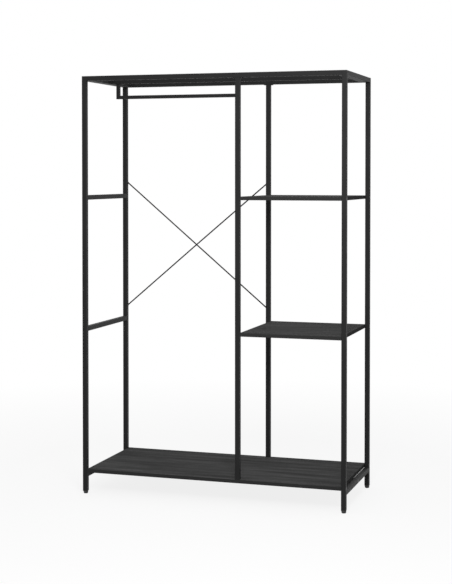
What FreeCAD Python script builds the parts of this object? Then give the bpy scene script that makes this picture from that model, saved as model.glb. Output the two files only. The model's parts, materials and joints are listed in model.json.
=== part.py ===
import FreeCAD, Part
import os
import Sketcher

# Coat rack with a shoe shelf: a square-tube frame with a hanging bay on the left, shelves on
# the right, a board at the bottom, a crossed rod brace behind and four levelling feet.
# X runs to the right, Y to the back and Z up. The origin is on the floor, under the middle.

Vector = FreeCAD.Vector
Rotation = FreeCAD.Rotation

sizes = {
    # frame
    "frame_width": 1160,
    "frame_depth": 485,
    "frame_height": 1800,
    "tube_side": 20,
    "tube_wall": 1.2,
    "tube_corner": 1.2,
    "stretcher_height": 30,
    "left_bay": 668.3,
    "bottom_clearance": 72.5,
    "lower_level": 713,
    "upper_level": 1279.5,
    # boards
    "board_thickness": 15,
    "board_gap": 0.3,
    "shelf_gap": 0.3,
    "board_edge": 0.5,
    # hanging rail
    "rail_side": 15,
    "rail_wall": 1.2,
    "rail_corner": 1,
    "rail_length": 573,
    "rail_inset": 43,
    "hook_gap": 52,
    # brace
    "rod_diameter": 6,
    "rod_gap": 0.3,
    "brace_upper": 1347,
    "brace_lower": 768,
    "eye_width": 11,
    "eye_thickness": 1.8,
    "eye_taper": 7.5,
    "eye_edge": 1.4,
    # feet
    "foot_height": 11,
    "foot_gap": 0.3,
    "foot_radius": 10,
    "foot_base_radius": 7.5,
    "foot_low_radius": 8.9,
    "foot_low_height": 1.6,
    "foot_mid_radius": 9.7,
    "foot_mid_height": 4,
    "foot_side_height": 7,
    "foot_socket": 6,
    "stud_radius": 4,
    "stud_reach": 24,
    "stud_bevel": 1,
    "stud_clearance": 0.05,
    # plugs and caps in the tube ends
    "plug_clearance": 0.05,
    "insert_flange": 1.5,
    "insert_length": 26,
    "cap_flange": 1.5,
    "cap_length": 12,
    "cap_edge": 0.8,
    "plug_length": 15,
    "drop_plug_length": 12,
    # fasteners
    "bolt_radius": 3,
    "bolt_clearance": 0.25,
    "thread_clearance": 0.05,
    "head_radius": 6,
    "dome_radius": 5.25,
    "dome_top_radius": 2.6,
    "dome_height": 3.3,
    "dome_curve": 4.6,
    "socket_across": 4,
    "socket_depth": 2,
    "nut_radius": 4.5,
    "nut_length": 12,
    "nut_bulge_radius": 5.5,
    "nut_bulge": 2.5,
    "board_insert_radius": 5,
    "board_insert_length": 18,
    "top_bolt_spacing": 240,
}

doc = FreeCAD.newDocument("coat_rack")
sheet = doc.addObject("Spreadsheet::Sheet", "dims")
for row, (alias, size) in enumerate(sizes.items(), start=1):
    sheet.set(f"A{row}", alias)
    sheet.set(f"B{row}", str(size))
    sheet.setAlias(f"B{row}", alias)
doc.recompute()

# Places worked out from the sizes
# The brace stands proud of the posts, so the frame sits that much forward of the middle.
brace_proud = "(dims.rod_diameter + dims.rod_gap)"
frame_y = f"(-{brace_proud} / 2)"
front_y = f"({frame_y} - (dims.frame_depth - dims.tube_side) / 2)"
back_y = f"({frame_y} + (dims.frame_depth - dims.tube_side) / 2)"
right_x = "((dims.frame_width - dims.tube_side) / 2)"
left_x = f"(-{right_x})"
inner_x = "(dims.frame_width / 2 - dims.tube_side)"
outer_x = "(dims.frame_width / 2)"
middle_x = f"(dims.left_bay + dims.tube_side / 2 - {inner_x})"
top_z = "(dims.frame_height - dims.tube_side / 2)"
rail_under = "(dims.frame_height - dims.tube_side)"
bottom_z = "(dims.bottom_clearance + dims.tube_side / 2)"
board_under = "(dims.bottom_clearance + dims.tube_side)"
stretcher_z = f"({board_under} - dims.stretcher_height / 2)"
board_z = f"({board_under} + dims.board_thickness / 2)"
board_top = f"({board_under} + dims.board_thickness)"
hang_z = f"({rail_under} - dims.hook_gap - dims.rail_side / 2)"
hang_left = f"(dims.rail_inset - {inner_x} + dims.rail_side / 2)"
hang_right = f"({hang_left} + dims.rail_length - dims.rail_side)"
tube_bore = "(dims.tube_side - 2 * dims.tube_wall)"
stretcher_bore = "(dims.stretcher_height - 2 * dims.tube_wall)"
rail_bore = "(dims.rail_side - 2 * dims.rail_wall)"
bolt_hole = "(dims.bolt_radius + dims.bolt_clearance)"
thread_hole = "(dims.bolt_radius + dims.thread_clearance)"
cone_depth = "(dims.head_radius - dims.bolt_radius)"
cone_angle = -45

up = Rotation()
down = Rotation(Vector(1, 0, 0), 180)
rightward = Rotation(Vector(0, 0, 1), Vector(1, 0, 0))
leftward = Rotation(Vector(1, 0, -1), 180)
backward = Rotation(Vector(0, 0, 1), Vector(0, 1, 0))

nodes = []


# Drawing and feature helpers
def value(expression):
    return float(sheet.evalExpression(expression))


def place(item, spot, rotation=up):
    item.Placement = FreeCAD.Placement(Vector(), rotation)
    for axis, expression in zip("xyz", spot):
        item.setExpression(f"Placement.Base.{axis}", expression)


def new_body(label, spot=("0", "0", "0"), rotation=up):
    body = doc.addObject("PartDesign::Body", label)
    place(body, spot, rotation)
    return body


def plane(body, role):
    return next(item for item in body.Origin.OriginFeatures if item.Role == role)


def sketch_on(body, role, offset="0"):
    sketch = body.newObject("Sketcher::SketchObject", body.Name + "_sketch")
    sketch.AttachmentSupport = (plane(body, role), [""])
    sketch.MapMode = "FlatFace"
    sketch.setExpression("AttachmentOffset.Base.z", offset)
    return sketch


def hold(sketch, constraint, expression):
    index = sketch.addConstraint(constraint)
    sketch.setExpression(f"Constraints[{index}]", expression)


def pin(sketch, geometry, point, x, y):
    for kind, expression in (("DistanceX", x), ("DistanceY", y)):
        reach = Sketcher.Constraint(kind, -1, 1, geometry, point, value(expression))
        hold(sketch, reach, expression)


def arc_between(start, end, radius):
    # The arc bulges to the right of the way from start to end.
    chord = end - start
    rise = (radius**2 - chord.Length**2 / 4) ** 0.5
    out = Vector(chord.y, -chord.x, 0).normalize()
    centre = (start + end) / 2 - out * rise
    return Part.Arc(start, centre + out * radius, end)


def outline(sketch, corners, arcs=None):
    # Corners are pairs of expressions, anticlockwise. The edge that leaves a corner named in
    # arcs is an arc of the radius given there.
    arcs = arcs or {}
    points = [Vector(value(x), value(y), 0) for x, y in corners]
    count = len(points)
    first = sketch.GeometryCount
    for i, start in enumerate(points):
        end = points[(i + 1) % count]
        if i in arcs:
            sketch.addGeometry(arc_between(start, end, value(arcs[i])))
            hold(sketch, Sketcher.Constraint("Radius", first + i, value(arcs[i])), arcs[i])
        else:
            sketch.addGeometry(Part.LineSegment(start, end))
    for i, (x, y) in enumerate(corners):
        before = first + (i - 1) % count
        sketch.addConstraint(Sketcher.Constraint("Coincident", before, 2, first + i, 1))
        pin(sketch, first + i, 1, x, y)


def rectangle(sketch, half_width, half_height):
    sides = ((-1, -1), (1, -1), (1, 1), (-1, 1))
    outline(sketch, [(f"{a} * {half_width}", f"{b} * {half_height}") for a, b in sides])


def circle(sketch, x, y, radius):
    shape = Part.Circle(Vector(value(x), value(y), 0), Vector(0, 0, 1), value(radius))
    index = sketch.addGeometry(shape)
    pin(sketch, index, 3, x, y)
    hold(sketch, Sketcher.Constraint("Radius", index, value(radius)), radius)


def pad(body, sketch, length, side="Symmetric", reverse=False):
    feature = body.newObject("PartDesign::Pad", body.Name + "_pad")
    feature.Profile = sketch
    feature.SideType = side
    feature.Reversed = reverse
    feature.setExpression("Length", length)
    doc.recompute()
    return feature


def pocket(body, sketch, length, side="Symmetric", reverse=False):
    before = body.Shape.Volume
    feature = body.newObject("PartDesign::Pocket", body.Name + "_pocket")
    feature.Profile = sketch
    feature.SideType = side
    feature.Reversed = reverse
    feature.setExpression("Length", length)
    doc.recompute()
    if body.Shape.Volume >= before:
        raise RuntimeError(f"{body.Name}: a pocket cuts nothing")
    return feature


def revolve(body, corners, arcs=None):
    sketch = sketch_on(body, "XZ_Plane")
    outline(sketch, corners, arcs)
    feature = body.newObject("PartDesign::Revolution", body.Name + "_turn")
    feature.Profile = sketch
    feature.ReferenceAxis = (sketch, ["V_Axis"])
    doc.recompute()
    return feature


def dress_edges(body, base, size, chosen, kind="Fillet"):
    edges = enumerate(base.Shape.Edges, start=1)
    names = [f"Edge{number}" for number, edge in edges if chosen(edge)]
    feature = body.newObject(f"PartDesign::{kind}", f"{body.Name}_{kind.lower()}")
    feature.Base = (base, names)
    feature.setExpression("Radius" if kind == "Fillet" else "Size", size)
    doc.recompute()
    return feature


def drill(body, role, spots, radius, depth, side="Symmetric", reverse=False, offset="0"):
    sketch = sketch_on(body, role, offset)
    for x, y in spots:
        circle(sketch, x, y, radius)
    return pocket(body, sketch, depth, side, reverse)


def countersink(body, role, spots, face, reverse=False):
    # A cone for a flat bolt head, cut from the face at that offset along the plane's normal.
    sketch = sketch_on(body, role, face)
    for x, y in spots:
        circle(sketch, x, y, "(dims.head_radius + dims.plug_clearance)")
    cone = pocket(body, sketch, cone_depth, "One side", reverse)
    cone.TaperAngle = cone_angle
    doc.recompute()


def group(label, master, spots):
    links = []
    for number, (spot, rotation) in enumerate(spots, start=1):
        link = doc.addObject("App::Link", f"{label}_{number}")
        link.LinkedObject = master
        place(link, spot, rotation)
        links.append(link)
    compound = doc.addObject("Part::Compound", label)
    compound.Links = links
    doc.recompute()
    nodes.append(compound)
    return compound


# Tubes
section_planes = {"x": "YZ_Plane", "y": "XZ_Plane", "z": "XY_Plane"}


def tube(label, axis, length, spot, kind="tube", height=None):
    side = f"dims.{kind}_side"
    height = height or side
    body = new_body(label, spot)
    sketch = sketch_on(body, section_planes[axis])
    for inset in ("0", f"dims.{kind}_wall"):
        rectangle(sketch, f"({side} / 2 - {inset})", f"({height} / 2 - {inset})")
    solid = pad(body, sketch, length)
    across = [name for name in "xyz" if name != axis]
    halves = [value(side) / 2, value(height) / 2]

    def long_outer(edge):
        middle = edge.CenterOfMass
        gaps = [abs(getattr(middle, name)) - half for name, half in zip(across, halves)]
        return all(abs(gap) < 1e-6 for gap in gaps)

    dress_edges(body, solid, f"dims.{kind}_corner", long_outer)
    nodes.append(body)
    return body


through = "2 * dims.tube_side"

# Corner posts, from the foot inserts up to the caps
post_low = "(dims.foot_height + dims.insert_flange)"
post_high = "(dims.frame_height - dims.cap_flange)"
post_length = f"({post_high} - {post_low})"
post_z = f"(({post_high} + {post_low}) / 2)"
shelf_levels = ["dims.lower_level", "dims.upper_level"]
brace_levels = ["dims.brace_lower", "dims.brace_upper"]
sides = {"left": left_x, "right": right_x}
ends = {"front": front_y, "back": back_y}


half_tube = "dims.tube_side / 2"


def cross_bolts(body, spots, heads):
    # The heads are flush with the right or the left face.
    drill(body, "YZ_Plane", spots, bolt_hole, through)
    face = half_tube if heads == "right" else f"-{half_tube}"
    countersink(body, "YZ_Plane", spots, face, heads == "left")


def upright_bolts(body, spots):
    drill(body, "XY_Plane", spots, bolt_hole, through)
    countersink(body, "XY_Plane", spots, half_tube)


def at_levels(levels, middle):
    return [("0", f"{level} - {middle}") for level in levels]


def brace_nut_holes(body, middle):
    radius = "(dims.nut_radius + dims.plug_clearance)"
    spots = at_levels(brace_levels, middle)
    drill(body, "XZ_Plane", spots, radius, "dims.tube_side", "One side")


for end, y in ends.items():
    for side, x in sides.items():
        post = tube(f"post_{end}_{side}", "z", post_length, (x, y, post_z))
        levels = [board_z] + (shelf_levels if side == "right" else [])
        cross_bolts(post, at_levels(levels, post_z), side)
        if (end, side) == ("back", "left"):
            brace_nut_holes(post, post_z)

# Middle posts, from the bottom board up to the top rails
middle_length = f"({rail_under} - {board_top})"
middle_z = f"(({rail_under} + {board_top}) / 2)"
for end, y in ends.items():
    post = tube(f"post_{end}_middle", "z", middle_length, (middle_x, y, middle_z))
    cross_bolts(post, at_levels(shelf_levels, middle_z), "left")
    if end == "back":
        brace_nut_holes(post, middle_z)

# Cross tubes of the end frames
cross_length = "(dims.frame_depth - 2 * dims.tube_side)"
top_bolt_y = "dims.top_bolt_spacing / 2"
for side, x in sides.items():
    rail = tube(f"{side}_top_rail", "y", cross_length, (x, frame_y, top_z))
    spots = [(f"-{top_bolt_y}", "0"), (top_bolt_y, "0")]
    radius = "(dims.nut_radius + dims.plug_clearance)"
    drill(rail, "YZ_Plane", spots, radius, "dims.tube_side", "One side", side == "left")
    rail = tube(f"{side}_bottom_rail", "y", cross_length, (x, frame_y, bottom_z))
    cross_bolts(rail, [("0", "0")], side)
for name, level in zip(("lower", "upper"), shelf_levels):
    tube(f"left_{name}_rung", "y", cross_length, (left_x, frame_y, level))

# Top frame: front, centre and back rails with a short bar at each end
long_length = f"(2 * {inner_x})"
centre_length = f"({long_length} - 2 * dims.tube_side)"
for end, y in ends.items():
    rail = tube(f"top_{end}_rail", "x", long_length, ("0", y, top_z))
    upright_bolts(rail, [(middle_x, "0")])
rail = tube("top_centre_rail", "x", centre_length, ("0", frame_y, top_z))
upright_bolts(rail, [(hang_left, "0"), (hang_right, "0")])
bar_x = f"({inner_x} - dims.tube_side / 2)"
for side, sign in (("left", "-"), ("right", "")):
    bar = tube(f"top_{side}_bar", "y", cross_length, (f"{sign}{bar_x}", frame_y, top_z))
    spots = [(f"-{top_bolt_y}", "0"), (top_bolt_y, "0")]
    cross_bolts(bar, spots, "right" if side == "left" else "left")

# Stretcher under the bottom board
spot = ("0", frame_y, stretcher_z)
tube("bottom_stretcher", "x", long_length, spot, height="dims.stretcher_height")

# Hanging rail, mitred into a drop at each end
half_rail = "dims.rail_side / 2"
half_length = "dims.rail_length / 2"
hang_x = f"(({hang_left} + {hang_right}) / 2)"
rail = tube("hanging_rail", "x", "dims.rail_length", (hang_x, frame_y, hang_z), "rail")
cut = sketch_on(rail, "XZ_Plane")
shoulder = f"({half_length} - dims.rail_side)"
outline(cut, [(half_length, f"-{half_rail}"), (half_length, half_rail), (shoulder, half_rail)])
outline(
    cut,
    [
        (f"-{half_length}", f"-{half_rail}"),
        (f"-{shoulder}", half_rail),
        (f"-{half_length}", half_rail),
    ],
)
pocket(rail, cut, "2 * dims.rail_side")
drop_length = "(dims.hook_gap + dims.rail_side)"
drop_z = f"({rail_under} - {drop_length} / 2)"
drop_foot = f"(-{drop_length} / 2)"
for side, x, sign in (("left", hang_left, "-"), ("right", hang_right, "")):
    drop = tube(f"hanging_drop_{side}", "z", drop_length, (x, frame_y, drop_z), "rail")
    cut = sketch_on(drop, "XZ_Plane")
    inner = "" if sign else "-"
    corners = [
        (f"{sign}{half_rail}", drop_foot),
        (f"{inner}{half_rail}", f"({drop_foot} + dims.rail_side)"),
        (f"{inner}{half_rail}", drop_foot),
    ]
    outline(cut, corners)
    pocket(drop, cut, "2 * dims.rail_side")


# Boards, with a hole in each end for the inserts that the bolts screw into
def board(label, length, spot, bolt_y):
    body = new_body(label, spot)
    sketch = sketch_on(body, "XY_Plane")
    rectangle(sketch, f"{length} / 2", "dims.frame_depth / 2")
    solid = pad(body, sketch, "dims.board_thickness")
    half_depth = value("dims.frame_depth") / 2

    def long_edge(edge):
        middle = edge.CenterOfMass
        return abs(abs(middle.y) - half_depth) < 1e-6 and abs(middle.x) < 1e-6

    dress_edges(body, solid, "dims.board_edge", long_edge)
    spots = [(f"-{bolt_y}", "0"), (bolt_y, "0")]
    radius = "(dims.board_insert_radius + dims.plug_clearance)"
    for sign, reverse in (("", False), ("-", True)):
        end = f"{sign}{length} / 2"
        depth = "dims.board_insert_length"
        drill(body, "YZ_Plane", spots, radius, depth, "One side", reverse, end)
    nodes.append(body)
    return body


bolt_y = "((dims.frame_depth - dims.tube_side) / 2)"
board_length = f"({long_length} - 2 * dims.board_gap)"
bottom_board = board("bottom_board", board_length, ("0", frame_y, board_z), bolt_y)
post_bolts = [(middle_x, f"-{bolt_y}"), (middle_x, bolt_y)]
drill(bottom_board, "XY_Plane", post_bolts, bolt_hole, "2 * dims.board_thickness")
countersink(bottom_board, "XY_Plane", post_bolts, "-dims.board_thickness / 2", True)

shelf_left = f"({middle_x} + dims.tube_side / 2 + dims.shelf_gap)"
shelf_right = f"({inner_x} - dims.shelf_gap)"
shelf_length = f"({shelf_right} - {shelf_left})"
shelf_x = f"(({shelf_right} + {shelf_left}) / 2)"
for name, level in zip(("lower", "upper"), shelf_levels):
    board(f"{name}_shelf", shelf_length, (shelf_x, frame_y, level), bolt_y)

# Brace rods: round in the middle, flattened behind the posts to a drilled eye at each end. The
# falling rod is straight. The rising rod is sprung forward at its middle, to pass the other one.
brace_run = f"({middle_x} - {left_x})"
brace_rise = "(dims.brace_upper - dims.brace_lower)"
brace_length = f"sqrt({brace_run}^2 + {brace_rise}^2)"
brace_x = f"(({middle_x} + {left_x}) / 2)"
brace_y = f"({back_y} + dims.tube_side / 2 + dims.eye_thickness / 2)"
brace_z = "((dims.brace_upper + dims.brace_lower) / 2)"
eye_x = f"{brace_length} / 2"
flat_x = f"({eye_x} - dims.eye_width / 2)"
round_x = f"({flat_x} - dims.eye_taper)"
rod_y = f"({brace_proud} - (dims.eye_thickness + dims.rod_diameter) / 2)"


def brace(label, lean, middle):
    spot = (brace_x, brace_y, brace_z)
    body = new_body(label, spot, Rotation(Vector(0, -lean, 0), 1))
    body.setExpression("Placement.Rotation.Angle", f"atan({brace_rise} / {brace_run})")
    sketch = sketch_on(body, "YZ_Plane")
    circle(sketch, middle, "0", "dims.rod_diameter / 2")
    route = sketch_on(body, "XY_Plane")
    run = [("0", middle), (round_x, rod_y)]
    index = route.addGeometry(Part.LineSegment(*[Vector(value(x), value(y), 0) for x, y in run]))
    for point, (x, y) in enumerate(run, start=1):
        pin(route, index, point, x, y)
    half_rod = body.newObject("PartDesign::AdditivePipe", label + "_half")
    half_rod.Profile = sketch
    half_rod.Spine = (route, ["Edge1"])
    doc.recompute()

    square = "(dims.rod_diameter / 2 * sqrt(0.5))"
    round_end = sketch_on(body, "YZ_Plane", round_x)
    corners = [
        (f"{rod_y} - {square}", f"-{square}"),
        (f"{rod_y} + {square}", f"-{square}"),
        (f"{rod_y} + {square}", square),
        (f"{rod_y} - {square}", square),
    ]
    outline(round_end, corners, dict.fromkeys(range(4), "dims.rod_diameter / 2"))
    flat_end = sketch_on(body, "YZ_Plane", flat_x)
    thick = "dims.eye_thickness / 2"
    wide = "(dims.eye_width / 2 - dims.eye_thickness / 4)"
    corners = [(f"-{thick}", f"-{wide}"), (thick, f"-{wide}"), (thick, wide), (f"-{thick}", wide)]
    outline(flat_end, corners, {0: "dims.eye_edge", 2: "dims.eye_edge"})
    taper = body.newObject("PartDesign::AdditiveLoft", label + "_taper")
    taper.Profile = round_end
    taper.Sections = [flat_end]
    doc.recompute()

    eye = sketch_on(body, "XZ_Plane")
    half = "dims.eye_width / 2"
    corners = [
        (flat_x, f"-{half}"),
        (eye_x, f"-{half}"),
        (f"{eye_x} + {half}", "0"),
        (eye_x, half),
        (flat_x, half),
    ]
    outline(eye, corners, {1: half, 2: half})
    circle(eye, eye_x, "0", bolt_hole)
    eye_pad = pad(body, eye, "dims.eye_thickness")
    other_end = body.newObject("PartDesign::Mirrored", label + "_other_end")
    other_end.Originals = [half_rod, taper, eye_pad]
    other_end.MirrorPlane = (plane(body, "YZ_Plane"), [""])
    body.Tip = other_end
    doc.recompute()
    nodes.append(body)


brace("brace_rod_rising", 1, f"({rod_y} - {brace_proud})")
brace("brace_rod_falling", -1, rod_y)

# Levelling feet: a glide moulded round a stud that screws into the post
pad_top = "(dims.foot_height - dims.foot_gap)"
socket_floor = f"({pad_top} - dims.foot_socket)"
socket_radius = "(dims.stud_radius + dims.plug_clearance)"
stud_low = f"({socket_floor} + dims.plug_clearance)"
stud_high = "(dims.foot_height + dims.stud_reach)"
pad_profile = [
    ("0", "0"),
    ("dims.foot_base_radius", "0"),
    ("dims.foot_low_radius", "dims.foot_low_height"),
    ("dims.foot_mid_radius", "dims.foot_mid_height"),
    ("dims.foot_radius", "dims.foot_side_height"),
    ("dims.foot_radius", pad_top),
    (socket_radius, pad_top),
    (socket_radius, socket_floor),
    ("0", socket_floor),
]
stud_profile = [
    ("0", stud_low),
    ("dims.stud_radius", stud_low),
    ("dims.stud_radius", f"{stud_high} - dims.stud_bevel"),
    ("dims.stud_radius - dims.stud_bevel", stud_high),
    ("0", stud_high),
]
for end, y in ends.items():
    for side, x in sides.items():
        for piece, profile in (("pad", pad_profile), ("stud", stud_profile)):
            foot = new_body(f"foot_{piece}_{end}_{side}", (x, y, "0"))
            revolve(foot, profile)
            nodes.append(foot)


# Plugs and caps in the tube ends
def end_plug(label, bore, length, hole, height=None, drop="0"):
    # The hole stays at the origin. The plug's own middle is below it by the drop.
    body = new_body(label)
    sketch = sketch_on(body, "XY_Plane")
    rise = f"({height or bore} / 2 - dims.plug_clearance)"
    half = f"({bore} / 2 - dims.plug_clearance)"
    low = f"{drop} - {rise}"
    high = f"{drop} + {rise}"
    outline(sketch, [(low, f"-{half}"), (high, f"-{half}"), (high, half), (low, half)])
    if hole:
        circle(sketch, "0", "0", hole)
    pad(body, sketch, length, "One side", True)
    return body


def flange(body, thickness, hole):
    sketch = sketch_on(body, "XY_Plane")
    rectangle(sketch, "dims.tube_side / 2", "dims.tube_side / 2")
    if hole:
        circle(sketch, "0", "0", hole)
    solid = pad(body, sketch, thickness, "One side")
    half_side = value("dims.tube_side") / 2

    def upright_corner(edge):
        middle = edge.CenterOfMass
        return abs(abs(middle.x) - half_side) < 1e-6 and abs(abs(middle.y) - half_side) < 1e-6

    return dress_edges(body, solid, "dims.tube_corner", upright_corner)


corner_spots = [(x, y) for y in ends.values() for x in sides.values()]
stud_hole = "(dims.stud_radius + dims.stud_clearance)"
insert = end_plug("foot_insert", tube_bore, "dims.insert_length", stud_hole)
flange(insert, "dims.insert_flange", stud_hole)
group("foot_inserts", insert, [((x, y, post_low), down) for x, y in corner_spots])

cap = end_plug("post_cap", tube_bore, "dims.cap_length", None)
rounded = flange(cap, "dims.cap_flange", None)
cap_top = value("dims.cap_flange")


def on_top(edge):
    return abs(edge.CenterOfMass.z - cap_top) < 1e-6


dress_edges(cap, rounded, "dims.cap_edge", on_top, "Chamfer")
group("post_caps", cap, [((x, y, post_high), up) for x, y in corner_spots])

plug = end_plug("tube_plug", tube_bore, "dims.plug_length", thread_hole)
plug_spots = [((middle_x, y, board_top), down) for y in ends.values()]
plug_spots += [((middle_x, y, rail_under), up) for y in ends.values()]
group("tube_plugs", plug, plug_spots)
plug = end_plug(
    "stretcher_plug",
    tube_bore,
    "dims.plug_length",
    thread_hole,
    stretcher_bore,
    f"({bottom_z} - {stretcher_z})",
)
plug_spots = [((f"-{inner_x}", frame_y, bottom_z), leftward)]
plug_spots += [((inner_x, frame_y, bottom_z), rightward)]
group("stretcher_plugs", plug, plug_spots)

drop_plug = end_plug("drop_plug", rail_bore, "dims.drop_plug_length", thread_hole)
drop_spots = [(hang_left, frame_y, rail_under), (hang_right, frame_y, rail_under)]
group("drop_plugs", drop_plug, [(spot, up) for spot in drop_spots])


# Bolts with a hexagon socket. A flat head is flush with the bolt's origin, and a domed one
# seats on it.
def bolt(label, length, domed=False):
    body = new_body(label)
    shank = [("0", f"-{length}"), ("dims.bolt_radius", f"-{length}")]
    if domed:
        top = "dims.dome_height"
        head = [
            ("dims.bolt_radius", "0"),
            ("dims.dome_radius", "0"),
            ("dims.dome_top_radius", top),
            ("0", top),
        ]
        revolve(body, shank + head, {3: "dims.dome_curve"})
    else:
        top = "0"
        head = [("dims.bolt_radius", f"-{cone_depth}"), ("dims.head_radius", "0"), ("0", "0")]
        revolve(body, shank + head)
    sketch = sketch_on(body, "XY_Plane", top)
    reach = "dims.socket_across / sqrt(3)"
    turns = range(0, 360, 60)
    outline(sketch, [(f"{reach} * cos({a} deg)", f"{reach} * sin({a} deg)") for a in turns])
    pocket(body, sketch, "dims.socket_depth", "One side")
    return body


plug_bolt = bolt("plug_bolt", "(dims.tube_side + dims.plug_length)")
top_spots = [((middle_x, y, "dims.frame_height"), up) for y in ends.values()]
group("middle_post_top_bolts", plug_bolt, top_spots)
stretcher_spots = [((f"-{outer_x}", frame_y, bottom_z), leftward)]
stretcher_spots += [((outer_x, frame_y, bottom_z), rightward)]
group("stretcher_bolts", plug_bolt, stretcher_spots)

base_bolt = bolt("base_bolt", "(dims.board_thickness + dims.plug_length)")
base_spots = [((middle_x, y, board_under), down) for y in ends.values()]
group("middle_post_base_bolts", base_bolt, base_spots)

drop_bolt = bolt("drop_bolt", "(dims.tube_side + dims.drop_plug_length)")
hang_spots = [((x, frame_y, "dims.frame_height"), up) for x in (hang_left, hang_right)]
group("hanging_rail_bolts", drop_bolt, hang_spots)

bar_bolt = bolt("bar_bolt", "(dims.tube_side + dims.nut_length)")
bar_inner = f"({inner_x} - dims.tube_side)"
top_bolt_spots = [f"({frame_y} - {top_bolt_y})", f"({frame_y} + {top_bolt_y})"]
bar_spots = [((f"-{bar_inner}", y, top_z), rightward) for y in top_bolt_spots]
bar_spots += [((bar_inner, y, top_z), leftward) for y in top_bolt_spots]
group("top_frame_bolts", bar_bolt, bar_spots)

shelf_bolt = bolt("shelf_bolt", "(dims.tube_side + dims.board_insert_length)")
middle_face = f"({middle_x} - dims.tube_side / 2)"
for name, level in zip(("lower", "upper"), shelf_levels):
    spots = [((middle_face, y, level), leftward) for y in ends.values()]
    spots += [((outer_x, y, level), rightward) for y in ends.values()]
    group(f"{name}_shelf_bolts", shelf_bolt, spots)
spots = [((f"-{outer_x}", y, board_z), leftward) for y in ends.values()]
spots += [((outer_x, y, board_z), rightward) for y in ends.values()]
group("bottom_board_bolts", shelf_bolt, spots)

brace_screw = bolt("brace_screw", "(dims.eye_thickness + dims.nut_length)", domed=True)
post_back = f"({back_y} + dims.tube_side / 2)"
eye_back = f"({post_back} + dims.eye_thickness)"
brace_spots = [(x, level) for x in (left_x, middle_x) for level in brace_levels]
group("brace_screws", brace_screw, [((x, eye_back, z), backward) for x, z in brace_spots])

# Rivet nuts, flush with the tube wall and bulged behind it
nut = new_body("rivet_nut")
bulge_top = "(-dims.tube_wall - dims.plug_clearance)"
bulge_foot = f"({bulge_top} - dims.nut_bulge)"
nut_profile = [
    (thread_hole, "-dims.nut_length"),
    ("dims.nut_radius", "-dims.nut_length"),
    ("dims.nut_radius", bulge_foot),
    ("dims.nut_bulge_radius", bulge_foot),
    ("dims.nut_bulge_radius", bulge_top),
    ("dims.nut_radius", bulge_top),
    ("dims.nut_radius", "0"),
    (thread_hole, "0"),
]
revolve(nut, nut_profile)
nut_spots = [((x, post_back, z), backward) for x, z in brace_spots]
nut_spots += [((f"-{inner_x}", y, top_z), rightward) for y in top_bolt_spots]
nut_spots += [((inner_x, y, top_z), leftward) for y in top_bolt_spots]
group("rivet_nuts", nut, nut_spots)

# Threaded inserts in the ends of the boards
board_insert = new_body("board_insert")
insert_profile = [
    (thread_hole, "-dims.board_insert_length"),
    ("dims.board_insert_radius", "-dims.board_insert_length"),
    ("dims.board_insert_radius", "0"),
    (thread_hole, "0"),
]
revolve(board_insert, insert_profile)
board_end = f"({board_length} / 2)"
insert_spots = [((f"-{board_end}", y, board_z), leftward) for y in ends.values()]
insert_spots += [((board_end, y, board_z), rightward) for y in ends.values()]
for level in shelf_levels:
    insert_spots += [((shelf_left, y, level), leftward) for y in ends.values()]
    insert_spots += [((shelf_right, y, level), rightward) for y in ends.values()]
group("board_inserts", board_insert, insert_spots)

# Every object has to be sound before anything is written
doc.recompute()
for item in doc.Objects:
    if "Invalid" in item.State or "Error" in item.State:
        raise RuntimeError(f"{item.Name}: {item.State}")
for node in nodes:
    if node.Shape.isNull() or not node.Shape.isValid():
        raise RuntimeError(f"{node.Label}: the shape is not valid")
os.makedirs("parts", exist_ok=True)
for node in nodes:
    node.Shape.exportStep(f"parts/{node.Label}.step")
print(f"wrote {len(nodes)} nodes")
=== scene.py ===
import json
import math

import bpy
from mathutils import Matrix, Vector


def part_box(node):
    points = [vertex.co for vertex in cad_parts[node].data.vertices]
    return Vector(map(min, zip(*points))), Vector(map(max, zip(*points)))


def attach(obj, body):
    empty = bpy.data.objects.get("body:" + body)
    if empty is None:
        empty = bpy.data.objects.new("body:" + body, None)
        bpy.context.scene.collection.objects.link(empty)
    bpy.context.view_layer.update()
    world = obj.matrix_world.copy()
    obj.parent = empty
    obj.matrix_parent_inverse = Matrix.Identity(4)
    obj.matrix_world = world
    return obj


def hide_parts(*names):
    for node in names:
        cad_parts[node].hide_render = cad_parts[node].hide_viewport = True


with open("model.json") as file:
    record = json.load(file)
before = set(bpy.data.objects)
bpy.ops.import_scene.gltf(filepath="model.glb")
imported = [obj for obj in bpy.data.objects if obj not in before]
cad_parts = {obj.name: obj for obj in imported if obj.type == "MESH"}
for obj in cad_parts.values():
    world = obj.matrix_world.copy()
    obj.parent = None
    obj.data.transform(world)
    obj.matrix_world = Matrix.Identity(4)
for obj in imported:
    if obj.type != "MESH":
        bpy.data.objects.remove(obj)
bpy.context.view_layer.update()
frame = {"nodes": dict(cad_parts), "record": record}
nodes = frame["nodes"]
scene = bpy.context.scene
print("frame loaded:", len(nodes), "nodes")

# camera: stands to the right of the rack at chest height, looks slightly down
cameraLook = {
    "place": (1.7613, -5.55573, 1.37807),
    "yaw": 17.67,      # degrees to the left of straight ahead
    "pitch": 1.5218,   # degrees down
    "lens": 82.7324, "sensor": 36, "shift": -0.14, "farthest": 60,
}
cameraData = bpy.data.cameras.new("camera")
cameraData.lens = cameraLook["lens"]
cameraData.sensor_width = cameraLook["sensor"]
cameraData.shift_y = cameraLook["shift"]
cameraData.clip_end = cameraLook["farthest"]
camera = bpy.data.objects.new("camera", cameraData)
camera.location = cameraLook["place"]
camera.rotation_euler = (
    math.radians(90 - cameraLook["pitch"]), 0, math.radians(cameraLook["yaw"]))
scene.collection.objects.link(camera)
scene.camera = camera
scene.view_settings.view_transform = "Standard"

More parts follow.
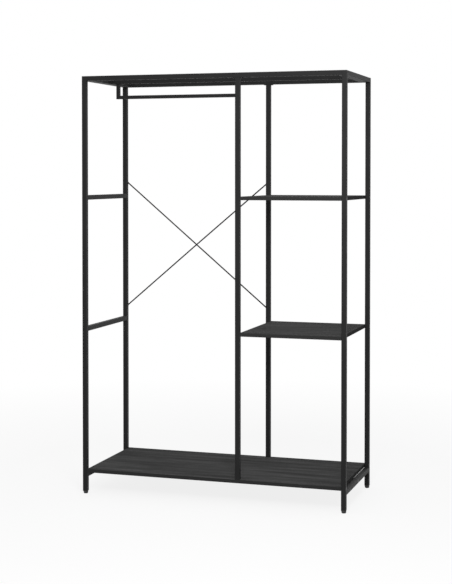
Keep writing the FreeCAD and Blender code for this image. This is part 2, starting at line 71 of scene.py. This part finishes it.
# light: an even white studio, with two soft lamps in front on the right, one high and one level
studio = {
    "white": (1, 1, 1, 1), "ambient": 0.59,
    "lamps": {
        "highLamp": {"place": (1.1, -2.6, 2.9), "aim": (0, 0, 1.2), "size": 1.6, "power": 24},
        "levelLamp": {"place": (0.9, -2.4, 1.8), "aim": (0, 0, 1.5), "size": 0.6, "power": 29},
    },
}
for name, lamp in studio["lamps"].items():
    lampData = bpy.data.lights.new(name, "AREA")
    lampData.shape = "DISK"
    lampData.size = lamp["size"]
    lampData.energy = lamp["power"]
    lampObject = bpy.data.objects.new(name, lampData)
    lampObject.location = lamp["place"]
    way = Vector(lamp["aim"]) - Vector(lamp["place"])
    lampObject.rotation_euler = way.to_track_quat("-Z", "Y").to_euler()
    scene.collection.objects.link(lampObject)


def addNode(tree, kind, settings=None, values=None):
    node = tree.nodes.new(kind)
    for key, setting in (settings or {}).items():
        setattr(node, key, setting)
    for key, number in (values or {}).items():
        node.inputs[key].default_value = number
    return node


def seenDirectly(tree):  # 1 where the camera, a reflection or a see-through ray looks
    path = addNode(tree, "ShaderNodeLightPath")
    total = path.outputs["Is Camera Ray"]
    for ray in ("Is Glossy Ray", "Is Transmission Ray"):
        join = addNode(tree, "ShaderNodeMath", {"operation": "MAXIMUM"})
        tree.links.new(total, join.inputs[0])
        tree.links.new(path.outputs[ray], join.inputs[1])
        total = join.outputs[0]
    return total


world = bpy.data.worlds.new("studio")
scene.world = world
world.use_nodes = True
tree = world.node_tree
tree.nodes.clear()
soft = addNode(tree, "ShaderNodeBackground", values={
    "Color": studio["white"], "Strength": studio["ambient"]})
plain = addNode(tree, "ShaderNodeBackground", values={"Color": studio["white"], "Strength": 1})
choose = addNode(tree, "ShaderNodeMixShader")
out = addNode(tree, "ShaderNodeOutputWorld")
tree.links.new(seenDirectly(tree), choose.inputs[0])
tree.links.new(soft.outputs[0], choose.inputs[1])
tree.links.new(plain.outputs[0], choose.inputs[2])
tree.links.new(choose.outputs[0], out.inputs["Surface"])

# floor: pale, keeps the rack's soft shadow and fades into the white background
floorLook = {
    "half": 14.0, "color": (0.9, 0.9, 0.9, 1), "bounce": (0.2, 0.2, 0.2, 1),
    "lift": 0.84, "fade": (1.2, 3.2),
}
floorMesh = bpy.data.meshes.new("floor")
reach = floorLook["half"]
floorMesh.from_pydata(
    [(-reach, -reach, 0), (reach, -reach, 0), (reach, reach, 0), (-reach, reach, 0)],
    [], [(0, 1, 2, 3)])
floor = bpy.data.objects.new("floor", floorMesh)
scene.collection.objects.link(floor)
floorPaint = bpy.data.materials.new("paleFloor")
floorPaint.use_nodes = True
tree = floorPaint.node_tree
tree.nodes.clear()
matte = addNode(tree, "ShaderNodeBsdfDiffuse", values={"Color": floorLook["color"]})
bounce = addNode(tree, "ShaderNodeBsdfDiffuse", values={"Color": floorLook["bounce"]})
glow = addNode(tree, "ShaderNodeEmission", values={"Strength": 1})
coords = addNode(tree, "ShaderNodeTexCoord")
length = addNode(tree, "ShaderNodeVectorMath", {"operation": "LENGTH"})
fade = addNode(tree, "ShaderNodeMapRange", {"clamp": True}, {
    "From Min": floorLook["fade"][0], "From Max": floorLook["fade"][1],
    "To Min": floorLook["lift"], "To Max": 1})
shown = addNode(tree, "ShaderNodeMixShader")
choose = addNode(tree, "ShaderNodeMixShader")
out = addNode(tree, "ShaderNodeOutputMaterial")
tree.links.new(coords.outputs["Object"], length.inputs[0])
tree.links.new(length.outputs["Value"], fade.inputs["Value"])
tree.links.new(fade.outputs["Result"], shown.inputs[0])
tree.links.new(matte.outputs[0], shown.inputs[1])
tree.links.new(glow.outputs[0], shown.inputs[2])
tree.links.new(seenDirectly(tree), choose.inputs[0])
tree.links.new(bounce.outputs[0], choose.inputs[1])
tree.links.new(shown.outputs[0], choose.inputs[2])
tree.links.new(choose.outputs[0], out.inputs["Surface"])
floorMesh.materials.append(floorPaint)
print("stage ready")


# finishes
def newFinish(name):
    finish = bpy.data.materials.new(name)
    finish.use_nodes = True
    return finish, finish.node_tree, finish.node_tree.nodes["Principled BSDF"]


def stretched(tree, scale=(1, 1, 1)):  # places on the piece, in metres where nothing is stretched
    coords = addNode(tree, "ShaderNodeTexCoord")
    scaled = addNode(tree, "ShaderNodeMapping", values={"Scale": scale})
    tree.links.new(coords.outputs["Object"], scaled.inputs["Vector"])
    return scaled.outputs["Vector"]


def noise(tree, vector, scale, detail, roughness=0.5):
    spots = addNode(tree, "ShaderNodeTexNoise", values={
        "Scale": scale, "Detail": detail, "Roughness": roughness})
    tree.links.new(vector, spots.inputs["Vector"])
    return spots.outputs["Fac"]


def ramp(tree, factor, stops):
    colors = addNode(tree, "ShaderNodeValToRGB")
    steps = colors.color_ramp.elements
    while len(steps) < len(stops):
        steps.new(0.5)
    for step, (place, grey) in zip(steps, stops):
        step.position = place
        step.color = (grey, grey, grey, 1)
    tree.links.new(factor, colors.inputs["Fac"])
    return colors.outputs["Color"]


def spread(tree, factor, low, high):
    fit = addNode(tree, "ShaderNodeMapRange", {"clamp": True}, {"To Min": low, "To Max": high})
    tree.links.new(factor, fit.inputs["Value"])
    return fit.outputs["Result"]


def mixColor(tree, factor, first, second):
    mix = addNode(tree, "ShaderNodeMix", {"data_type": "RGBA"})
    share, colorA, colorB = mix.inputs[0], mix.inputs[6], mix.inputs[7]
    for socket, source in ((share, factor), (colorA, first), (colorB, second)):
        if isinstance(source, (float, tuple)):
            socket.default_value = source
        else:
            tree.links.new(source, socket)
    return mix.outputs[2]


def bump(tree, shader, height, distance, strength):
    relief = addNode(tree, "ShaderNodeBump", values={"Distance": distance, "Strength": strength})
    tree.links.new(height, relief.inputs["Height"])
    tree.links.new(relief.outputs["Normal"], shader.inputs["Normal"])


def wornEdge(tree, radius, flat, sharp):  # near 1 on sharp outer edges
    around = addNode(tree, "ShaderNodeBevel", {"samples": 4}, {"Radius": radius})
    surface = addNode(tree, "ShaderNodeNewGeometry")
    meet = addNode(tree, "ShaderNodeVectorMath", {"operation": "DOT_PRODUCT"})
    tree.links.new(around.outputs["Normal"], meet.inputs[0])
    tree.links.new(surface.outputs["Normal"], meet.inputs[1])
    fit = addNode(tree, "ShaderNodeMapRange", {"clamp": True}, {
        "From Min": flat, "From Max": sharp})
    tree.links.new(meet.outputs["Value"], fit.inputs["Value"])
    return fit.outputs["Result"]


# powder coat on the tubes and rods: satin black with a fine orange-peel skin
coatLook = {
    "dark": (0.0136, 0.0136, 0.0138, 1), "light": (0.0208, 0.0208, 0.021, 1),
    "cloud": {"scale": 9, "detail": 3},
    "sheen": {"scale": 140, "detail": 3}, "roughness": (0.5, 0.62), "specular": 0.12,
    "peel": {"scale": 620, "detail": 2}, "peelDepth": 0.00005, "peelStrength": 0.5,
}
powderCoat, tree, shader = newFinish("powderCoat")
metres = stretched(tree)
cloud = noise(tree, metres, **coatLook["cloud"])
sheen = noise(tree, metres, **coatLook["sheen"])
peel = noise(tree, metres, **coatLook["peel"])
tree.links.new(mixColor(tree, cloud, coatLook["dark"], coatLook["light"]),
               shader.inputs["Base Color"])
tree.links.new(spread(tree, sheen, *coatLook["roughness"]), shader.inputs["Roughness"])
shader.inputs["Specular IOR Level"].default_value = coatLook["specular"]
bump(tree, shader, peel, coatLook["peelDepth"], coatLook["peelStrength"])

# laminate on the boards: black wood grain along the length, plain band on the edges
boardLook = {
    "waves": {"scale": 2.2, "detail": 4, "roughness": 0.6}, "waveStretch": (1.1, 14, 14),
    "streaks": {"scale": 1.6, "detail": 5, "roughness": 0.62}, "streakStretch": (3.2, 150, 150),
    "pores": {"scale": 1.0, "detail": 3, "roughness": 0.6}, "poreStretch": (14, 620, 620),
    "streakShare": 0.45, "poreShare": 0.35,
    "figure": [(0.36, 0.023), (0.5, 0.053), (0.66, 0.107)],  # height in the grain, grey
    "band": (0.036, 0.036, 0.036, 1), "bandTilt": 0.5,
    "roughness": (0.78, 0.92), "specular": 0.02,
    "grainDepth": 0.00025, "grainStrength": 0.4,
}
laminate, tree, shader = newFinish("laminate")
waves = noise(tree, stretched(tree, boardLook["waveStretch"]), **boardLook["waves"])
streaks = noise(tree, stretched(tree, boardLook["streakStretch"]), **boardLook["streaks"])
pores = noise(tree, stretched(tree, boardLook["poreStretch"]), **boardLook["pores"])
grain = mixColor(tree, boardLook["streakShare"], waves, streaks)
grain = mixColor(tree, boardLook["poreShare"], grain, pores)
figure = ramp(tree, grain, boardLook["figure"])
surface = addNode(tree, "ShaderNodeNewGeometry")
facing = addNode(tree, "ShaderNodeSeparateXYZ")
tree.links.new(surface.outputs["Normal"], facing.inputs[0])
upright = addNode(tree, "ShaderNodeMath", {"operation": "ABSOLUTE"})
tree.links.new(facing.outputs["Z"], upright.inputs[0])
onEdge = addNode(tree, "ShaderNodeMath", {"operation": "LESS_THAN"}, {1: boardLook["bandTilt"]})
tree.links.new(upright.outputs[0], onEdge.inputs[0])
tree.links.new(mixColor(tree, onEdge.outputs[0], figure, boardLook["band"]),
               shader.inputs["Base Color"])
tree.links.new(spread(tree, streaks, *boardLook["roughness"]), shader.inputs["Roughness"])
shader.inputs["Specular IOR Level"].default_value = boardLook["specular"]
bump(tree, shader, grain, boardLook["grainDepth"], boardLook["grainStrength"])

# moulded plastic of the feet and caps
plasticLook = {
    "dark": (0.024, 0.024, 0.024, 1), "light": (0.036, 0.036, 0.036, 1),
    "cloud": {"scale": 60, "detail": 3},
    "spark": {"scale": 1400, "detail": 2}, "sparkDepth": 0.00006, "sparkStrength": 0.4,
    "roughness": (0.5, 0.66), "specular": 0.4,
}
plastic, tree, shader = newFinish("mouldedPlastic")
metres = stretched(tree)
cloud = noise(tree, metres, **plasticLook["cloud"])
spark = noise(tree, metres, **plasticLook["spark"])
tree.links.new(mixColor(tree, cloud, plasticLook["dark"], plasticLook["light"]),
               shader.inputs["Base Color"])
tree.links.new(spread(tree, spark, *plasticLook["roughness"]), shader.inputs["Roughness"])
shader.inputs["Specular IOR Level"].default_value = plasticLook["specular"]
bump(tree, shader, spark, plasticLook["sparkDepth"], plasticLook["sparkStrength"])

# black oxide on the bolts, a little lighter where edges are worn
oxideLook = {
    "dark": (0.010, 0.010, 0.011, 1), "light": (0.024, 0.023, 0.023, 1),
    "cloud": {"scale": 220, "detail": 3},
    "edge": (0.10, 0.10, 0.10, 1), "edgeShare": 0.6,
    "wear": {"radius": 0.0006, "flat": 0.98, "sharp": 0.80},
    "sheen": {"scale": 500, "detail": 2}, "roughness": (0.3, 0.48), "metallic": 0.35,
}
oxide, tree, shader = newFinish("blackOxide")
metres = stretched(tree)
cloud = noise(tree, metres, **oxideLook["cloud"])
sheen = noise(tree, metres, **oxideLook["sheen"])
body = mixColor(tree, cloud, oxideLook["dark"], oxideLook["light"])
edge = spread(tree, wornEdge(tree, **oxideLook["wear"]), 0, oxideLook["edgeShare"])
tree.links.new(mixColor(tree, edge, body, oxideLook["edge"]), shader.inputs["Base Color"])
tree.links.new(spread(tree, sheen, *oxideLook["roughness"]), shader.inputs["Roughness"])
shader.inputs["Metallic"].default_value = oxideLook["metallic"]

# zinc plate on studs, nuts and inserts
zincLook = {
    "dark": (0.36, 0.37, 0.39, 1), "light": (0.58, 0.58, 0.57, 1),
    "cloud": {"scale": 170, "detail": 4},
    "sheen": {"scale": 900, "detail": 2}, "roughness": (0.26, 0.42), "metallic": 1.0,
}
zinc, tree, shader = newFinish("zincPlate")
metres = stretched(tree)
cloud = noise(tree, metres, **zincLook["cloud"])
sheen = noise(tree, metres, **zincLook["sheen"])
tree.links.new(mixColor(tree, cloud, zincLook["dark"], zincLook["light"]),
               shader.inputs["Base Color"])
tree.links.new(spread(tree, sheen, *zincLook["roughness"]), shader.inputs["Roughness"])
shader.inputs["Metallic"].default_value = zincLook["metallic"]

finishes = {
    "frame_steel": powderCoat, "board_laminate": laminate, "black_plastic": plastic,
    "black_bolts": oxide, "zinc_steel": zinc,
}
slots = {part["node"]: part["material_slot"] for part in frame["record"]["subparts"]}
coatedLater = {"stretcher_plugs": powderCoat}  # welded in first, then coated with the stretcher
for name, node in nodes.items():
    finish = coatedLater.get(name, finishes[slots[name]])
    node.data.materials.clear()
    node.data.materials.append(finish)
print("finishes on", len(nodes), "nodes")


def addPiece(name, points, faces, finish, body):
    mesh = bpy.data.meshes.new(name)
    mesh.from_pydata(points, [], faces)
    mesh.materials.append(finish)
    for face in mesh.polygons:
        face.use_smooth = True
    piece = bpy.data.objects.new(name, mesh)
    scene.collection.objects.link(piece)
    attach(piece, body)
    return piece


def corners(name):  # a node's lowest and highest corner
    return [Vector(corner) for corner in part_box(name)]


def bridge(first, second, count, closed=True):  # faces between two rings of points
    last = count if closed else count - 1
    return [(first + i, first + (i + 1) % count, second + (i + 1) % count, second + i)
            for i in range(last)]


# weld beads: rippled fillets in the corners where the tubes meet
beadLook = {
    "leg": 0.0022, "crown": 0.45, "sink": 0.0004, "inset": 0.0014, "points": 7, "step": 0.00045,
    "pitch": 0.0014, "ripple": 0.12, "rippleShape": 0.6, "lag": 0.4,  # the lag bows each ripple
    "endSize": 0.02, "endShape": 6,
}
beadPoints = []
beadFaces = []


def addBead(start, end, sideA, sideB):
    along = end - start
    if along.dot(sideA.cross(sideB)) < 0:  # keeps the faces turned outwards
        sideA, sideB = sideB, sideA
    total = along.length
    rings = int(total / beadLook["step"]) + 1
    count = beadLook["points"] + 1
    pitch, crown, sink = beadLook["pitch"], beadLook["crown"], beadLook["sink"]
    previous = None
    for i in range(rings + 1):
        place = total * i / rings
        fullness = 1 - abs(2 * place / total - 1) ** beadLook["endShape"]
        taper = math.sqrt(max(beadLook["endSize"], fullness))
        root = start + along * (i / rings)
        ring = len(beadPoints)
        for j in range(beadLook["points"]):
            t = j / (beadLook["points"] - 1)
            lag = beadLook["lag"] * pitch * math.sin(math.pi * t)
            wave = abs(math.sin(math.pi * (place + lag) / pitch)) ** beadLook["rippleShape"]
            leg = beadLook["leg"] * taper * (1 - beadLook["ripple"] * (1 - wave))
            a = (1 - t) * (1 - crown) + math.cos(t * math.pi / 2) * crown
            b = t * (1 - crown) + math.sin(t * math.pi / 2) * crown
            beadPoints.append(root + leg * (a * sideA + b * sideB)
                              - sink * ((j == 0) * sideB + (t == 1) * sideA))
        beadPoints.append(root - sink * (sideA + sideB))
        if previous is None:
            beadFaces.append(tuple(range(ring, ring + count))[::-1])
        else:
            beadFaces.extend(bridge(previous, ring, count))
        previous = ring
    beadFaces.append(tuple(range(previous, previous + count)))


axisX, axisY, axisZ = Vector((1, 0, 0)), Vector((0, 1, 0)), Vector((0, 0, 1))
inset = beadLook["inset"]
crossTubes = {  # the sides that show
    "left_top_rail": "under", "left_upper_rung": "both", "left_lower_rung": "both",
    "left_bottom_rail": "both", "right_top_rail": "under", "right_bottom_rail": "both",
}
for name, where in crossTubes.items():
    low, high = corners(name)
    for y, side in ((low.y, axisY), (high.y, -axisY)):
        for z, rise in ((low.z, -axisZ), (high.z, axisZ)):
            if where == "both" or z == low.z:
                addBead(Vector((low.x + inset, y, z)), Vector((high.x - inset, y, z)), rise, side)
for name, way in (("top_left_bar", 1), ("top_right_bar", -1)):
    low, high = corners(name)
    x = high.x if way > 0 else low.x
    for y, side in ((low.y, axisY), (high.y, -axisY)):
        addBead(Vector((x, y, low.z + inset)), Vector((x, y, high.z - inset)), way * axisX, side)
low, high = corners("top_centre_rail")
for x, way in ((low.x, axisX), (high.x, -axisX)):
    for y, side in ((low.y, -axisY), (high.y, axisY)):
        addBead(Vector((x, y, low.z + inset)), Vector((x, y, high.z - inset)), way, side)
railTop = corners("hanging_rail")[1].z
for name, way in (("hanging_drop_left", 1), ("hanging_drop_right", -1)):
    low, high = corners(name)
    x = high.x if way > 0 else low.x
    addBead(Vector((x, low.y + inset, railTop)), Vector((x, high.y - inset, railTop)),
            way * axisX, axisZ)

# plates on the middle posts' upper ends, against the top rails
plateLook = {
    "ear": 0.0100, "thick": 0.0025, "corner": 0.003, "cornerSteps": 4, "bevel": 0.0004,
    "overlap": 0.0003,
}
platePoints = []
plateFaces = []


def addEar(post, rail, way):
    postLow, postHigh = corners(post)
    railLow, railHigh = corners(rail)
    overlap, bevel, corner = plateLook["overlap"], plateLook["bevel"], plateLook["corner"]
    steps = plateLook["cornerSteps"]
    side = postHigh.x if way > 0 else postLow.x
    root = side - way * overlap
    tip = side + way * plateLook["ear"]
    outline = [(root, railLow.y), (root, railHigh.y)]
    for y, turn in ((railHigh.y, 1), (railLow.y, -1)):
        for i in range(steps + 1):
            angle = math.pi / 2 / steps * (i if turn < 0 else steps - i)
            outline.append((tip - way * corner * (1 - math.cos(angle)),
                            y - turn * corner * (1 - math.sin(angle))))
    bottom = railLow.z - plateLook["thick"]
    middle = Vector(((root + tip) / 2, (railLow.y + railHigh.y) / 2))
    count = len(outline)
    first = len(platePoints)
    rings = [(railLow.z + overlap, 0), (bottom + bevel, 0), (bottom, bevel)]
    for z, pull in rings:
        for x, y in outline:
            inward = middle - Vector((x, y))
            platePoints.append(Vector((x + math.copysign(pull, inward.x),
                                       y + math.copysign(pull, inward.y), z)))
    last = first + (len(rings) - 1) * count
    order = 1 if way > 0 else -1
    plateFaces.append(tuple(range(first, first + count))[::-order])
    for ring in range(first, last, count):
        plateFaces.extend(face[::order] for face in bridge(ring, ring + count, count))
    plateFaces.append(tuple(range(last, last + count))[::order])
    addBead(Vector((side, postLow.y + inset, bottom)), Vector((side, postHigh.y - inset, bottom)),
            way * axisX, -axisZ)


for end in ("front", "back"):
    for way in (1, -1):
        addEar(f"post_{end}_middle", f"top_{end}_rail", way)
addPiece("postPlates", platePoints, plateFaces, powderCoat, "rack")
addPiece("weldBeads", beadPoints, beadFaces, powderCoat, "rack")
print("post plates:", len(platePoints), "points, weld beads:", len(beadPoints), "points")

# levelling feet: a rounded glide moulded on a threaded stud
padLook = {
    "turns": 48,
    # radius and height in metres, from the middle of the base round to the stud's socket
    "profile": [
        (0, 0.00035), (0.0038, 0.00035), (0.0044, 0), (0.0069, 0), (0.0076, 0.00018),
        (0.0083, 0.0007), (0.00895, 0.0016), (0.0094, 0.0027), (0.0097, 0.004),
        (0.0099, 0.0055), (0.01, 0.007), (0.01, 0.0101), (0.00985, 0.0105), (0.0094, 0.0107),
        (0.0052, 0.0107), (0.0048, 0.0103), (0.004, 0.0103), (0.004, 0.0046), (0, 0.0046),
    ],
}
studLook = {
    "major": 0.00398, "minor": 0.00335, "pitch": 0.00125, "turns": 28, "bevel": 0.0008,
    "profile": [(0.0, 0), (0.38, 1), (0.5, 1), (0.88, 0)],  # share of the pitch, of the ridge
    "runOut": 1.5,  # how fast the ridge rises from the ends, in ridges a turn
}


def ringAround(x, y, z, radius, turns):
    angles = [2 * math.pi * i / turns for i in range(turns)]
    return [(x + radius * math.cos(angle), y + radius * math.sin(angle), z) for angle in angles]


def lathe(x, y, base, profile, turns):  # a closed turned piece; radius 0 at both ends
    points = [(x, y, base + profile[0][1])]
    for radius, height in profile[1:-1]:
        points.extend(ringAround(x, y, base + height, radius, turns))
    points.append((x, y, base + profile[-1][1]))
    top = len(points) - 1
    last = top - turns
    faces = [(0, 1 + (i + 1) % turns, 1 + i) for i in range(turns)]
    for ring in range(1, last, turns):
        faces.extend(bridge(ring, ring + turns, turns))
    faces.extend((top, last + i, last + (i + 1) % turns) for i in range(turns))
    return points, faces


def threadStud(x, y, low, high):  # one closed skin: a helical strip joined turn to turn
    turns, pitch, minor = studLook["turns"], studLook["pitch"], studLook["minor"]
    ridge = studLook["major"] - minor
    count = len(studLook["profile"])
    steps = int((high - low) / pitch - 1) * turns
    points = []
    for i in range(steps + 1):
        angle = 2 * math.pi * i / turns
        fade = min(1, studLook["runOut"] * min(i, steps - i) / turns)
        for lead, height in studLook["profile"]:
            radius = minor + height * fade * ridge
            points.append((x + radius * math.cos(angle), y + radius * math.sin(angle),
                           low + pitch * (i / turns + lead)))
    faces = []
    for i in range(steps):
        faces.extend(face[::-1] for face in bridge(i * count, (i + 1) * count, count, False))
    for i in range(steps - turns):
        under, over = i * count + count - 1, (i + turns) * count
        faces.append((under, under + count, over + count, over))
    lowLoop = [i * count for i in range(turns + 1)]
    highLoop = [(steps - turns + i) * count + count - 1 for i in range(turns + 1)]
    for z, loop, order in ((low, lowLoop, 1), (high, highLoop, -1)):  # flat ends
        ring = len(points)
        points.extend(ringAround(x, y, z, minor - studLook["bevel"], turns))
        points.append((x, y, z))
        for i in range(turns):
            after = ring + (i + 1) % turns
            faces.append((loop[i], ring + i, after, loop[i + 1])[::order])
            faces.append((ring + turns, after, ring + i)[::order])
        near, far = (loop[0], loop[-1])[::order]
        faces.append((*(near + order * k for k in range(count)), far, ring))
    return points, faces


for end in ("front", "back"):
    for side in ("left", "right"):
        foot = f"{end}_{side}"
        low, high = corners(f"foot_pad_{foot}")
        x, y = (low.x + high.x) / 2, (low.y + high.y) / 2
        points, faces = lathe(x, y, low.z, padLook["profile"], padLook["turns"])
        pad = addPiece(f"glide_{foot}", points, faces, plastic, f"foot_{foot}")
        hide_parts(f"foot_pad_{foot}")
        low, high = corners(f"foot_stud_{foot}")
        points, faces = threadStud(x, y, low.z, high.z)
        stud = addPiece(f"thread_{foot}", points, faces, zinc, f"foot_{foot}")
        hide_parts(f"foot_stud_{foot}")
print("feet built")
